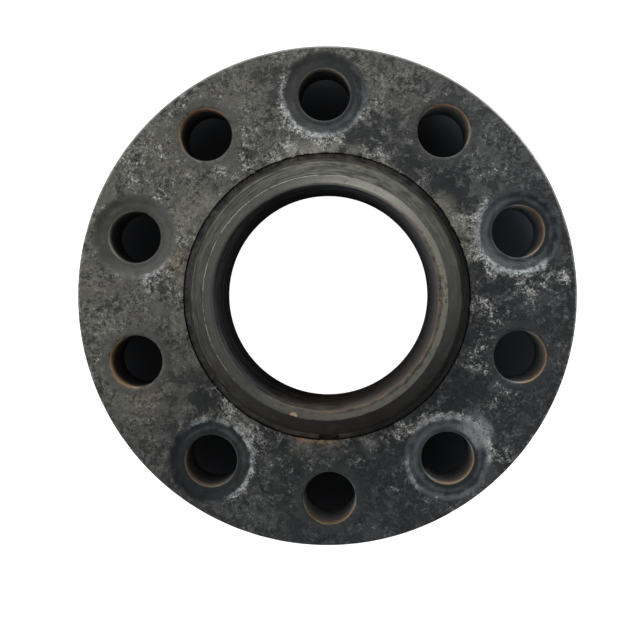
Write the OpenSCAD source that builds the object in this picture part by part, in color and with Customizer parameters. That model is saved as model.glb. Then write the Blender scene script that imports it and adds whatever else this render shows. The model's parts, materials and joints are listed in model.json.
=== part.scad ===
// Weld neck flange with a swivelling bolting ring, in three separate pieces:
// a forged hub that the pipe is welded to, a loose ring that takes the bolts,
// and a split ring that keeps the two together before the joint is made up.
// The flange lies on its raised face: z = 0 is that face, and +Z runs along the
// bore to the weld end. All sizes are in millimetres.

/* [Pipe end] */
// Outside diameter of the pipe, and of the hub's straight end
pipe_od = 168.3; // [166:0.1:172]
// Bore of the pipe and of the hub, right through
bore_d = 154.1; // [146:0.1:156]
// Slope of the weld bevel, measured from the plane of the end
bevel_angle = 37.5; // [30:0.5:40]
// Width of the flat land left at the root of the bevel
root_land = 1.6; // [1:0.1:2.4]
// Length of the straight end behind the bevel
straight_len = 8; // [6:1:12]

/* [Hub] */
// Height of the weld end above the front of the bolting ring
hub_height = 82; // [70:1:100]
// Diameter of the neck where the bolting ring turns on it
neck_d = 201; // [200:0.5:203]
// Height that the neck stays straight above the front of the bolting ring
neck_rise = 4; // [2:1:8]
// Diameter at the turned edge where the steep root meets the long taper
root_d = 194.6; // [190:0.2:198]
// Height of that edge above the front of the bolting ring
root_rise = 16; // [12:1:24]
// Diameter of the shoulder that the bolting ring pulls against
shoulder_d = 236; // [230:1:240]
// Thickness of the shoulder above the raised face
shoulder_t = 24; // [18:1:30]
// Chamfer on the shoulder's back edge
shoulder_chamfer = 1.5; // [0.5:0.5:3]

/* [Raised face] */
// Diameter of the raised gasket face
raised_d = 216; // [205:1:222]
// How far the gasket face stands proud of the bolting ring's back
raised_h = 6; // [3:0.5:8]

/* [Bolting ring] */
// Outside diameter
ring_od = 365; // [360:1:380]
// Thickness
ring_t = 76; // [70:1:82]
// Chamfer on both outer edges
rim_chamfer = 1; // [0.5:0.5:3]
// Gap on the radius between ring and neck, and behind the shoulder
turning_gap = 0.5; // [0.4:0.1:1]
// Gap on the radius between ring and shoulder
shoulder_gap = 1; // [0.8:0.1:1.5]

/* [Bolt holes] */
// Number of holes: every second one has a dished seat, so it is even
bolt_count = 10; // [6:2:10]
// Diameter of the bolt circle
bolt_circle_d = 295; // [292:1:298]
// Diameter of a hole
bolt_hole_d = 38; // [30:0.5:38]
// Chamfer on the mouths of the plain holes
mouth_chamfer = 1.5; // [0.5:0.5:2]
// Diameter of the dished seats
seat_d = 60; // [52:1:60]
// Depth of the flat bottom of a dished seat
seat_depth = 3.5; // [2:0.5:4]
// Radius that rounds a seat's floor up to its edge
seat_round = 8; // [5:0.5:8]

/* [Retaining ring] */
// Thickness along the bore
keeper_t = 4; // [3:0.5:5]
// Depth that it sits in the neck's groove
keeper_bite = 3.5; // [2:0.5:5]
// Opening of the split, in degrees
keeper_split = 8; // [4:1:15]
// Diameter of the recess round it in the front of the bolting ring
recess_d = 210.4; // [209:0.2:214]
// Depth of that recess
recess_depth = 7; // [6:0.5:10]
// Side play of the ring in its groove
groove_play = 0.2; // [0.1:0.1:0.4]

/* [Hidden] */

$fn = 128;
eps = 1;

bore_r = bore_d / 2;
pipe_r = pipe_od / 2;
neck_r = neck_d / 2;
root_r = root_d / 2;
shoulder_r = shoulder_d / 2;
raised_r = raised_d / 2;
ring_r = ring_od / 2;
recess_r = recess_d / 2;
hole_r = bolt_hole_d / 2;
seat_r = seat_d / 2;
seat_floor_r = seat_r - sqrt(pow(seat_round, 2) - pow(seat_round - seat_depth, 2));

// Levels along the bore, from the raised face
ring_front = raised_h + ring_t;
shoulder_top = raised_h + shoulder_t;
recess_floor = ring_front - recess_depth;
weld_end = ring_front + hub_height;
land_r = bore_r + root_land;
bevel_start = weld_end - (pipe_r - land_r) * tan(bevel_angle);
taper_end = bevel_start - straight_len;

// The retaining ring lies just clear of the recess, on its floor and all round
keeper_z = recess_floor + turning_gap;
groove_r = neck_r - keeper_bite;
keeper_in_r = groove_r + groove_play / 2;
keeper_w = recess_r - turning_gap - keeper_in_r;

// Bolt holes straddle the X axis, as pipework practice has it
hole_step = 360 / bolt_count;

// Outline of the hub in section, from the gasket face up to the weld end
module hub_outline() {
  polygon([
    [bore_r, 0],
    [raised_r, 0],
    [raised_r, raised_h],
    [shoulder_r - shoulder_chamfer, raised_h],
    [shoulder_r, raised_h + shoulder_chamfer],
    [shoulder_r, shoulder_top],
    [neck_r, shoulder_top],
    [neck_r, keeper_z - groove_play / 2],
    [groove_r, keeper_z - groove_play / 2],
    [groove_r, keeper_z + keeper_t + groove_play / 2],
    [neck_r, keeper_z + keeper_t + groove_play / 2],
    [neck_r, ring_front + neck_rise],
    [root_r, ring_front + root_rise],
    [pipe_r, taper_end],
    [pipe_r, bevel_start],
    [land_r, weld_end],
    [bore_r, weld_end]
  ]);
}

// Forged hub: gasket face, shoulder, grooved neck, taper and weld bevel
module weld_hub() {
  color([0.34, 0.34, 0.31]) rotate_extrude() hub_outline();
}

// Outline of the bolting ring in section, with the shoulder's pocket at the
// back and the retaining ring's recess at the front
module ring_outline() {
  polygon([
    [shoulder_r + shoulder_gap, raised_h],
    [ring_r - rim_chamfer, raised_h],
    [ring_r, raised_h + rim_chamfer],
    [ring_r, ring_front - rim_chamfer],
    [ring_r - rim_chamfer, ring_front],
    [recess_r, ring_front],
    [recess_r, recess_floor],
    [neck_r + turning_gap, recess_floor],
    [neck_r + turning_gap, shoulder_top + turning_gap],
    [shoulder_r + shoulder_gap, shoulder_top + turning_gap]
  ]);
}

// Cutter for one dished seat, with its origin on the front face: a flat floor
// that an arc carries up to the seat's edge
module dished_seat() {
  rotate_extrude() {
    translate([0, -seat_depth]) square([seat_floor_r, seat_depth + eps]);
    intersection() {
      translate([seat_floor_r, seat_round - seat_depth]) circle(r = seat_round);
      translate([0, -seat_depth]) square([seat_r, seat_depth]);
    }
    square([seat_r, eps]);
  }
}

// Cutter for the chamfer round one plain mouth, with its origin on the face
module mouth_cone() {
  translate([0, 0, -mouth_chamfer])
    cylinder(r1 = hole_r, r2 = hole_r + mouth_chamfer + eps, h = mouth_chamfer + eps);
}

// Loose ring with the bolt holes: the seats and plain mouths take turns
module bolting_ring() {
  color([0.22, 0.23, 0.24])
    difference() {
      rotate_extrude() ring_outline();
      for (i = [0:bolt_count - 1])
        rotate([0, 0, (i + 0.5) * hole_step])
          translate([bolt_circle_d / 2, 0, 0]) {
            cylinder(r = hole_r, h = ring_front + eps);
            if (i % 2 == 0)
              translate([0, 0, ring_front]) dished_seat();
            else
              translate([0, 0, ring_front]) mouth_cone();
          }
    }
}

// Split ring in the neck's groove, which stops the bolting ring sliding off
module retaining_ring() {
  color([0.12, 0.12, 0.12])
    rotate([0, 0, 270 + keeper_split / 2])
      rotate_extrude(angle = 360 - keeper_split)
        translate([keeper_in_r, keeper_z]) square([keeper_w, keeper_t]);
}

weld_hub();
bolting_ring();
retaining_ring();
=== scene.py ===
import json
import math
from types import SimpleNamespace
import bmesh
import bpy
from mathutils import Matrix, Vector


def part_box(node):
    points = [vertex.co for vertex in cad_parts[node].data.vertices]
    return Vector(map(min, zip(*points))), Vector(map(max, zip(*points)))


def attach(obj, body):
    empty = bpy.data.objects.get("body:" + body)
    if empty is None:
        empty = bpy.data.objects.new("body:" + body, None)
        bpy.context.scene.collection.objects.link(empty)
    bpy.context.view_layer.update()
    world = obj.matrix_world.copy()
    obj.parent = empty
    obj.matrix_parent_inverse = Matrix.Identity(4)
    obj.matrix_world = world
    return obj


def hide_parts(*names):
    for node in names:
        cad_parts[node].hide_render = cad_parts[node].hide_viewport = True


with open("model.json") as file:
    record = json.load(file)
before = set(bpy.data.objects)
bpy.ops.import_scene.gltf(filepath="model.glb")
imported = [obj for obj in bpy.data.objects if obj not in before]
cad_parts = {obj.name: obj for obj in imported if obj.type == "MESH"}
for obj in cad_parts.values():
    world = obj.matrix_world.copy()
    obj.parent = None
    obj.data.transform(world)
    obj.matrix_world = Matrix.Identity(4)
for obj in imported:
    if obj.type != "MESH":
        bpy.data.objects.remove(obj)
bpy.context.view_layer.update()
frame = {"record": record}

mm = 0.001
mounts = {m["name"]: m for m in frame["record"]["mounts"]}
scene = bpy.context.scene

# Levels and radii that the CAD model settles, in millimetres
ringLow, ringHigh = (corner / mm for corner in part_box("bolting_ring"))
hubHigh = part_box("weld_hub")[1] / mm
keeperLow, keeperHigh = (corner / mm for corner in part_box("retaining_ring"))
ringBack, ringFront, ringRadius = ringLow.z, ringHigh.z, ringHigh.x
weldEnd, shoulderRadius = hubHigh.z, hubHigh.x
boreRadius = mounts["flow_bore"]["dims"]["r_mm"]
boltCircle = mounts["bolt_circle"]["dims"]["pcd_mm"] / 2
holeCount = mounts["bolt_circle"]["dims"]["count"]
holeRadius = mounts["bolt_circle"]["dims"]["hole_r_mm"]
halfSector = math.pi / holeCount
touching = 0.004    # points closer than this are one
wallStart = 0.01    # a place with less depth than this is on the front, the rim or the back
spotReach = 1.6     # a zone's spot fades out at this many times its spread


class NodeDesk:
    # Short names for the nodes that every tree here is made of
    def __init__(self, tree):
        self.tree = tree

    def add(self, kind, inputs=None, **settings):
        node = self.tree.nodes.new(kind)
        for name, value in settings.items():
            setattr(node, name, value)
        for name, value in (inputs or {}).items():
            self.feed(node.inputs[name], value)
        return node

    def feed(self, socket, value):
        if isinstance(value, bpy.types.NodeSocket):
            self.tree.links.new(value, socket)
        elif value is not None:
            socket.default_value = value

    def math(self, operation, a, b=None, c=None, clamp=False):
        node = self.add("ShaderNodeMath", operation=operation, use_clamp=clamp)
        for socket, value in zip(node.inputs, (a, b, c)):
            self.feed(socket, value)
        return node.outputs[0]

    def plus(self, *values):
        total = values[0]
        for value in values[1:]:
            total = self.math("ADD", total, value)
        return total

    def times(self, *values):
        total = values[0]
        for value in values[1:]:
            total = self.math("MULTIPLY", total, value)
        return total

    def minus(self, a, b):
        return self.math("SUBTRACT", a, b)

    def above(self, value, limit):
        return self.math("GREATER_THAN", value, limit)

    def below(self, value, limit):
        return self.math("LESS_THAN", value, limit)

    def larger(self, a, b, clamp=False):
        return self.math("MAXIMUM", a, b, clamp=clamp)

    def step(self, value, low, high, toLow=0.0, toHigh=1.0):
        node = self.add("ShaderNodeMapRange", interpolation_type="SMOOTHSTEP")
        for name, number in (("Value", value), ("From Min", low), ("From Max", high),
                             ("To Min", toLow), ("To Max", toHigh)):
            self.feed(node.inputs[name], number)
        return node.outputs[0]

    def band(self, value, start, full, fade, end):
        return self.times(self.step(value, start, full), self.step(value, fade, end, 1.0, 0.0))

    def noise(self, place, size, detail=3.0, roughness=0.55, distortion=0.0):
        node = self.add("ShaderNodeTexNoise", noise_dimensions="3D", noise_type="FBM",
                        inputs={"Vector": place, "Scale": 1 / (size * mm), "Detail": detail,
                                "Roughness": roughness, "Distortion": distortion})
        return node.outputs[0]

    def mix(self, share, a, b):
        node = self.add("ShaderNodeMix", data_type="RGBA")
        self.feed(node.inputs[0], share)
        self.feed(node.inputs[6], a)
        self.feed(node.inputs[7], b)
        return node.outputs[2]

    def coat(self, under, over, *shares):
        # Lays one colour over another, as thick as the product of the shares
        return self.mix(self.times(*shares), under, over)

    def distance(self, place, centre):
        gap = self.add("ShaderNodeVectorMath", {0: place, 1: centre * mm}, operation="DISTANCE")
        return gap.outputs["Value"]

    def spot(self, place, centre, inner, outer):
        return self.step(self.distance(place, centre), outer * mm, inner * mm)

    def split(self, vector):
        return self.add("ShaderNodeSeparateXYZ", inputs={0: vector}).outputs

    def vector(self, **parts):
        return self.add("ShaderNodeCombineXYZ", parts).outputs[0]

    def scaled(self, vector, factor):
        node = self.add("ShaderNodeVectorMath", {0: vector}, operation="SCALE")
        self.feed(node.inputs["Scale"], factor)
        return node.outputs[0]

    def fromAxis(self, x, y):
        return self.math("SQRT", self.plus(self.times(x, x), self.times(y, y)))

    def along(self, x, y, degrees):
        # How far out a place lies in this direction
        angle = math.radians(degrees)
        return self.plus(self.times(x, math.cos(angle)), self.times(y, math.sin(angle)))

    def facing(self, x, y, radius, degrees):
        # 1 in this direction from the axis, 0 square to it and -1 on the far side
        return self.math("DIVIDE", self.along(x, y, degrees), radius)

    def attribute(self, name):
        return self.add("GeometryNodeInputNamedAttribute", {"Name": name},
                        data_type="FLOAT").outputs[0]

    def paint(self, geometry, material, selection=None):
        return self.add("GeometryNodeSetMaterial", {
            "Geometry": geometry, "Material": material, "Selection": selection}).outputs[0]


def tint(red, green, blue):
    return (red, green, blue, 1.0)


def roundedLine(corners, steps=4):
    # Corners are (radius, height, rounding); each one becomes a short arc
    line = []
    for i, (r, z, rounding) in enumerate(corners):
        here = Vector((r, z))
        if rounding == 0 or i in (0, len(corners) - 1):
            line.append(here)
            continue
        before = Vector(corners[i - 1][:2]) - here
        after = Vector(corners[i + 1][:2]) - here
        reach = min(rounding, before.length * 0.45, after.length * 0.45)
        start, end = here + before.normalized() * reach, here + after.normalized() * reach
        for k in range(steps + 1):
            t = k / steps
            line.append(start * (1 - t) ** 2 + here * 2 * t * (1 - t) + end * t ** 2)
    return line


def evenLine(line, longest):
    # Adds points so that no stretch is longer than this
    result = [line[0]]
    for a, b in zip(line, line[1:]):
        pieces = max(1, math.ceil((b - a).length / longest))
        result += [a.lerp(b, k / pieces) for k in range(1, pieces + 1)]
    return result


def stitch(bm, rows, closed):
    # Quads between rows of points that are already vertices
    for lower, upper in zip(rows, rows[1:]):
        count = len(lower)
        for i in range(count if closed else count - 1):
            k = (i + 1) % count
            corners = [lower[i], lower[k], upper[k], upper[i]]
            if len(set(corners)) == 4:
                bm.faces.new(corners)


def newPiece(name, mesh):
    piece = bpy.data.objects.new(name, mesh)
    scene.collection.objects.link(piece)
    return piece


def keepMesh(bm, name):
    mesh = bpy.data.meshes.new(name)
    bm.to_mesh(mesh)
    bm.free()
    return newPiece(name, mesh)


def closeUp(mesh):
    # Joins what touches and turns every face outwards
    bm = bmesh.new()
    bm.from_mesh(mesh)
    bmesh.ops.remove_doubles(bm, verts=bm.verts, dist=touching * mm)
    bmesh.ops.recalc_face_normals(bm, faces=bm.faces)
    bm.to_mesh(mesh)
    bm.free()


def shadeByAngle(mesh, degrees):
    mesh.shade_smooth()
    bm = bmesh.new()
    bm.from_mesh(mesh)
    limit = math.radians(degrees)
    for edge in bm.edges:
        edge.smooth = len(edge.link_faces) != 2 or edge.calc_face_angle(0) < limit
    bm.to_mesh(mesh)
    bm.free()


def growWithNodes(piece, tree, values):
    # Runs a node tree on the piece and keeps the result as its plain mesh
    modifier = piece.modifiers.new(tree.name, "NODES")
    modifier.node_group = tree
    for item in tree.interface.items_tree:
        if item.item_type == "SOCKET" and item.in_out == "INPUT" and item.name in values:
            modifier[item.identifier] = values[item.name]
    depsgraph = bpy.context.evaluated_depsgraph_get()
    mesh = bpy.data.meshes.new_from_object(piece.evaluated_get(depsgraph),
                                           preserve_all_data_layers=True, depsgraph=depsgraph)
    piece.modifiers.remove(modifier)
    piece.data = mesh
    mesh.name = piece.name
    return mesh


def newTree(name, sockets):
    tree = bpy.data.node_groups.new(name, "GeometryNodeTree")
    tree.interface.new_socket("Geometry", in_out="INPUT", socket_type="NodeSocketGeometry")
    for label, kind, value in sockets:
        socket = tree.interface.new_socket(label, in_out="INPUT", socket_type="NodeSocket" + kind)
        if value is not None:
            socket.default_value = value
    tree.interface.new_socket("Geometry", in_out="OUTPUT", socket_type="NodeSocketGeometry")
    desk = NodeDesk(tree)
    return tree, desk, desk.add("NodeGroupInput").outputs, desk.add("NodeGroupOutput").inputs[0]


boltingRing = {
    "recessRadius": 105.2,    # front recess that holds the retaining ring
    "recessDepth": 7.0,
    "neckGap": 0.5,           # running gap round the neck
    "neckRadius": 100.5,
    "pocketGap": 1.0,         # round the hub's shoulder
    "pocketTop": 30.5,
    "rimBreak": 1.0,          # turned edges at front and back
    "rimInset": 0.4,          # the faces stop this far inside those edges
    "recessInset": 0.6,       # and this far outside the recess and the pocket
    "recessLip": 1.3,         # height of the band at the recess's edge
    "mouthBreak": 1.5,
    "mouthInset": 2.4,
    "backBreak": 0.6,         # where a hole meets the back
    "seatRadius": 30.0,
    "seatDepth": 3.5,
    "seatRound": 8.0,
    "seatSteps": 8,           # points up the seat's rounded side
    "seatFlare": 1.3,         # how far the first of them lies outside the edge
    "floorRound": 2.1,        # the edge between a seat's floor and the hole
    "outerSteps": 48,         # points along the outer arc of one sector
    "sideSteps": 26,
    "innerSteps": 44,
    "faceSteps": 24,          # rows from a hole's mouth to the sector's edge
    "faceCrowding": 0.86,     # below 1, these rows lie closer together at the mouth
    "wallSteps": 4,           # rows down a hole's wall
    "backSteps": 2,
    "rimLongest": 6.0,        # the longest faces on the rim and inside the ring
    "insideLongest": 16.0,
    "edgeGrowth": 1.3,        # how far scale has grown in over the recess
    "relief": 0.32,
    "rimDents": 0.18,
}
print("settings read: ring front", round(ringFront, 1), "weld end", round(weldEnd, 1))


def polar(radius, angle, z):
    return Vector((radius * math.cos(angle), radius * math.sin(angle), z))


def sectorBorder(inner, outer, z):
    # Once round the sector's edge: outer arc, side, inner arc, side
    s = boltingRing
    span = 2 * halfSector
    points = [polar(outer, -halfSector + span * i / s["outerSteps"], z)
              for i in range(s["outerSteps"])]
    points += [polar(outer + (inner - outer) * i / s["sideSteps"], halfSector, z)
               for i in range(s["sideSteps"])]
    points += [polar(inner, halfSector - span * i / s["innerSteps"], z)
               for i in range(s["innerSteps"])]
    points += [polar(inner + (outer - inner) * i / s["sideSteps"], -halfSector, z)
               for i in range(s["sideSteps"])]
    return points


def mouthProfile(isSeat):
    # From the front face down to the straight wall: (radius, depth below the face)
    s = boltingRing
    if not isSeat:
        return roundedLine([(holeRadius + s["mouthBreak"] + s["mouthInset"], 0, 0),
                            (holeRadius + s["mouthBreak"], 0.05, 1.0),
                            (holeRadius, s["mouthBreak"], 0.9),
                            (holeRadius, s["mouthBreak"] + 3, 0)])[:-1]
    lift = s["seatRound"] - s["seatDepth"]
    floorRadius = s["seatRadius"] - math.sqrt(s["seatRound"] ** 2 - lift ** 2)
    endAngle = math.acos(lift / s["seatRound"])
    line = []
    for k in range(s["seatSteps"], -1, -1):
        angle = endAngle * k / s["seatSteps"]
        line.append(Vector((floorRadius + s["seatRound"] * math.sin(angle),
                            s["seatRound"] * math.cos(angle) - lift)))
    # The first points ease the edge over into the face
    line[0].x += s["seatFlare"]
    line[1] += Vector((0.45, -0.05))
    line[2].x += 0.1
    wall = roundedLine([(floorRadius, s["seatDepth"], 0),
                        (holeRadius, s["seatDepth"], s["floorRound"]),
                        (holeRadius, s["seatDepth"] + 6, 0)], 6)
    return line + evenLine(wall[:-1], 1.5)[1:]


def makeSector(isSeat):
    s = boltingRing
    bm = bmesh.new()
    marks = {name: bm.verts.layers.float.new(name)
             for name in ("holeDistance", "wallDepth", "seatSide", "outward")}
    centre = Vector((boltCircle, 0, 0))

    def place(point, depth=0.0):
        vertex = bm.verts.new(point * mm)
        away = Vector((point.x, point.y, 0)) - centre
        vertex[marks["holeDistance"]] = away.length
        vertex[marks["wallDepth"]] = depth
        vertex[marks["seatSide"]] = 1.0 if isSeat else 0.0
        vertex[marks["outward"]] = away.x / max(away.length, 1e-6)
        return vertex

    pocketRadius = shoulderRadius + s["pocketGap"]
    rimEdge = ringRadius - s["rimBreak"] - s["rimInset"]
    frontEdge = sectorBorder(s["recessRadius"] + s["recessInset"], rimEdge, ringFront)
    backEdge = sectorBorder(pocketRadius + s["recessInset"], rimEdge, ringBack)
    rays = [(Vector((p.x, p.y, 0)) - centre).normalized() for p in frontEdge]
    mouth = mouthProfile(isSeat)

    # Front face, from the sector's edge in to the mouth
    rows = []
    for k in range(s["faceSteps"] + 1):
        t = (k / s["faceSteps"]) ** s["faceCrowding"]
        rows.append([place(edge.lerp(centre + ray * mouth[0].x + Vector((0, 0, ringFront)), t))
                     for edge, ray in zip(frontEdge, rays)])
    # Down the seat or chamfer and the wall, to the back
    depths = [Vector((holeRadius, mouth[-1].y + (ringFront - ringBack - 1 - mouth[-1].y)
                      * k / s["wallSteps"])) for k in range(1, s["wallSteps"] + 1)]
    depths += [Vector((holeRadius + 0.15, ringFront - ringBack - 0.3)),
               Vector((holeRadius + s["backBreak"], ringFront - ringBack))]
    for radius, depth in mouth[1:] + depths:
        rows.append([place(centre + ray * radius + Vector((0, 0, ringFront - depth)), depth)
                     for ray in rays])
    for k in range(1, s["backSteps"] + 1):
        rows.append([place((centre + ray * (holeRadius + s["backBreak"])
                            + Vector((0, 0, ringBack))).lerp(edge, k / s["backSteps"]))
                     for edge, ray in zip(backEdge, rays)])
    stitch(bm, rows, True)

    # Rim, swept over the outer arc; then everything inside the ring, over the inner arc
    rim = roundedLine([(rimEdge, ringFront, 0),
                       (ringRadius - s["rimBreak"], ringFront, 0.4),
                       (ringRadius, ringFront - s["rimBreak"], 0.6),
                       (ringRadius, ringBack + s["rimBreak"], 0.6),
                       (ringRadius - s["rimBreak"], ringBack, 0.4),
                       (rimEdge, ringBack, 0)])
    recessFloor = ringFront - s["recessDepth"]
    neck = s["neckRadius"] + s["neckGap"]
    inside = roundedLine([(s["recessRadius"] + s["recessInset"], ringFront, 0),
                          (s["recessRadius"], ringFront, 0.35),
                          (s["recessRadius"], ringFront - s["recessLip"], 0),
                          (s["recessRadius"], recessFloor, 0.6),
                          (neck, recessFloor, 0.4),
                          (neck, s["pocketTop"], 0.8),
                          (pocketRadius, s["pocketTop"], 0.8),
                          (pocketRadius, ringBack, 0.4),
                          (pocketRadius + s["recessInset"], ringBack, 0)])
    for line, steps, longest in ((rim, s["outerSteps"], s["rimLongest"]),
                                 (inside, s["innerSteps"], s["insideLongest"])):
        stitch(bm, [[place(polar(p.x, -halfSector + 2 * halfSector * i / steps, p.y))
                     for i in range(steps + 1)] for p in evenLine(line, longest)], False)
    bmesh.ops.remove_doubles(bm, verts=bm.verts, dist=touching * mm)
    return keepMesh(bm, "seatSector" if isSeat else "plainSector")


# Where pale scale has built up on the front: angle, radius, spread, strength
scaleZones = [
    (17, 110, 9, 0.9), (25, 116, 11, 1.0), (31, 110, 7, 0.8), (41, 107, 5, 0.8),
    (50, 107, 4, 0.5), (59, 107, 4, 0.7), (67, 108, 7, 0.9), (75, 109, 8, 1.0),
    (83, 111, 9, 1.1), (91, 112, 9, 1.1), (99, 112, 9, 1.0), (106, 110, 8, 0.9),
    (104, 128, 13, 0.55), (112, 108, 6, 0.8), (120, 110, 8, 0.75), (128, 109, 6, 0.5),
    (72, 124, 12, 0.5), (75, 140, 13, 0.4), (116, 128, 14, 0.35), (56, 122, 12, 0.35),
    (150, 112, 12, 0.35), (158, 113, 9, 0.5), (168, 113, 9, 0.55), (181, 110, 9, 0.5),
    (176, 117, 9, 0.5), (219, 106, 5, 0.9), (227, 109, 8, 1.0), (234, 113, 9, 1.0),
    (242, 112, 8, 0.8), (250, 111, 7, 0.5), (262, 108, 8, 0.35), (285, 109, 6, 0.7),
    (292, 109, 7, 0.9), (299, 112, 8, 0.9), (310, 116, 8, 0.7), (318, 124, 9, 0.75),
    (325, 126, 9, 0.8), (332, 121, 9, 0.7), (338, 112, 6, 0.6), (322, 152, 15, 0.4),
    (3, 160, 16, 0.4), (8, 122, 11, 0.8), (7, 138, 12, 0.6), (10, 152, 9, 0.6),
    (356, 116, 12, 0.45), (350, 168, 12, 0.35), (140, 160, 30, 0.2), (198, 168, 18, 0.25),
    (126, 173, 18, 0.35), (300, 168, 12, 0.3), (270, 128, 9, 0.35), (40, 150, 16, 0.25),
    (335, 124, 10, 0.5), (345, 118, 9, 0.5), (354, 112, 9, 0.5), (350, 130, 10, 0.4),
    (0, 142, 12, 0.45), (330, 146, 14, 0.35), (340, 162, 14, 0.35), (312, 130, 8, 0.5),
    (262, 121, 7, 0.4), (279, 124, 7, 0.5), (255, 128, 8, 0.5), (246, 121, 8, 0.6),
    (130, 123, 9, 0.45), (147, 142, 9, 0.35), (175, 129, 9, 0.4), (4, 176, 9, 0.5),
    (318, 172, 10, 0.4), (252, 172, 10, 0.3), (145, 174, 16, 0.3), (62, 132, 8, 0.4),
]


# Where crust clings round the dished seats: hole's angle, way it faces, width, strength
seatHalos = [
    (18, 160, 45, 1.1), (18, 240, 45, 0.8), (18, 285, 35, 0.7), (90, 190, 60, 0.9),
    (90, 235, 40, 0.6), (90, 310, 40, 0.4), (162, 255, 50, 0.3), (162, 300, 35, 0.5),
    (234, 324, 50, 0.8), (234, 20, 50, 1.0), (234, 95, 45, 0.7), (306, 36, 60, 1.25),
    (306, 100, 50, 1.1), (306, 200, 45, 0.7),
]


# Where it has flaked off again, down to nearly black metal
flakeZones = [
    (79, 114, 9, 0.8), (72, 130, 15, 0.45), (57, 115, 9, 0.7), (41, 121, 14, 0.9),
    (2, 127, 10, 0.75), (352, 149, 14, 0.25), (326, 126, 14, 1.0), (319, 121, 8, 0.9),
    (322, 159, 12, 0.5), (288, 172, 12, 0.4), (253, 112, 5, 0.9), (219, 118, 11, 0.8),
    (230, 174, 9, 0.6), (200, 178, 9, 0.5), (179, 122, 6, 0.9), (146, 121, 9, 0.35),
    (98, 112, 5, 0.9), (108, 120, 9, 0.4), (14, 168, 12, 0.2), (336, 170, 12, 0.25),
]


def onFront(radius, degrees):
    return polar(radius, math.radians(degrees), ringFront)


def zoneField(desk, place, spots):
    # Adds up soft round spots
    field = 0.0
    for angle, out, spread, strength in spots:
        gap = desk.distance(place, onFront(out, angle))
        field = desk.plus(field, desk.step(gap, 0.0, spread * spotReach * mm, strength, 0.0))
    return field


def seatHalo(desk, place, holeDistance):
    # Broken arcs of crust round the dished seats
    x, y = desk.split(place)[:2]
    halo = 0.0
    for hole, way, width, strength in seatHalos:
        centre = onFront(boltCircle, hole)
        leaning = desk.facing(desk.minus(x, centre.x * mm), desk.minus(y, centre.y * mm),
                              desk.times(holeDistance, mm), way)
        arc = desk.times(desk.step(leaning, math.cos(math.radians(width)), 0.97, 0.0, strength),
                         desk.spot(place, centre, 38, 42))
        halo = desk.larger(halo, arc)
    return desk.times(desk.band(holeDistance, 27.5, 29.0, 31.0, 37.0), halo,
                      desk.step(desk.noise(place, 8.0, 3.0), 0.32, 0.52, 0.35, 1.1))


def ringOffset(desk, given, place, zone, wallDepth):
    # Lumps and pits on the front, dents round the rim, and a ragged lip over the recess
    x, y, z = desk.split(place)
    radius = desk.fromAxis(x, y)
    frontHeight = given["Front Height"]
    front = desk.times(desk.above(z, desk.minus(frontHeight, 0.05 * mm)),
                       desk.below(wallDepth, wallStart))
    lumps = desk.noise(place, 5.0, 4.0, 0.6)
    swell = desk.noise(place, 22.0, 2.0)
    pits = desk.noise(place, 3.2, 3.0, 0.6)
    height = desk.plus(
        desk.times(desk.minus(swell, 0.5), 0.9),
        desk.times(desk.step(lumps, 0.42, 0.68), desk.math("MULTIPLY_ADD", zone, 1.1, 0.25)),
        desk.times(desk.step(pits, 0.42, 0.24), -1.1))
    dent = desk.times(desk.step(desk.noise(place, 9.0, 3.0), 0.45, 0.8), given["Rim Dents"], -1.0,
                      desk.above(radius, desk.minus(given["Rim Radius"], 0.3 * mm)))
    growth = desk.times(
        desk.below(radius, desk.plus(given["Recess Radius"], 1 * mm)),
        desk.step(z, desk.minus(frontHeight, 1 * mm), desk.minus(frontHeight, 0.4 * mm)),
        desk.step(desk.noise(place, 4.5, 5.0, 0.7), 0.42, 0.66),
        desk.math("MULTIPLY_ADD", zone, 0.8, 0.2), given["Edge Growth"], -1.0)
    share = desk.math("DIVIDE", desk.plus(dent, growth), desk.larger(radius, 1 * mm))
    return desk.vector(X=desk.times(x, share), Y=desk.times(y, share),
                       Z=desk.times(height, given["Relief"], front))


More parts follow.
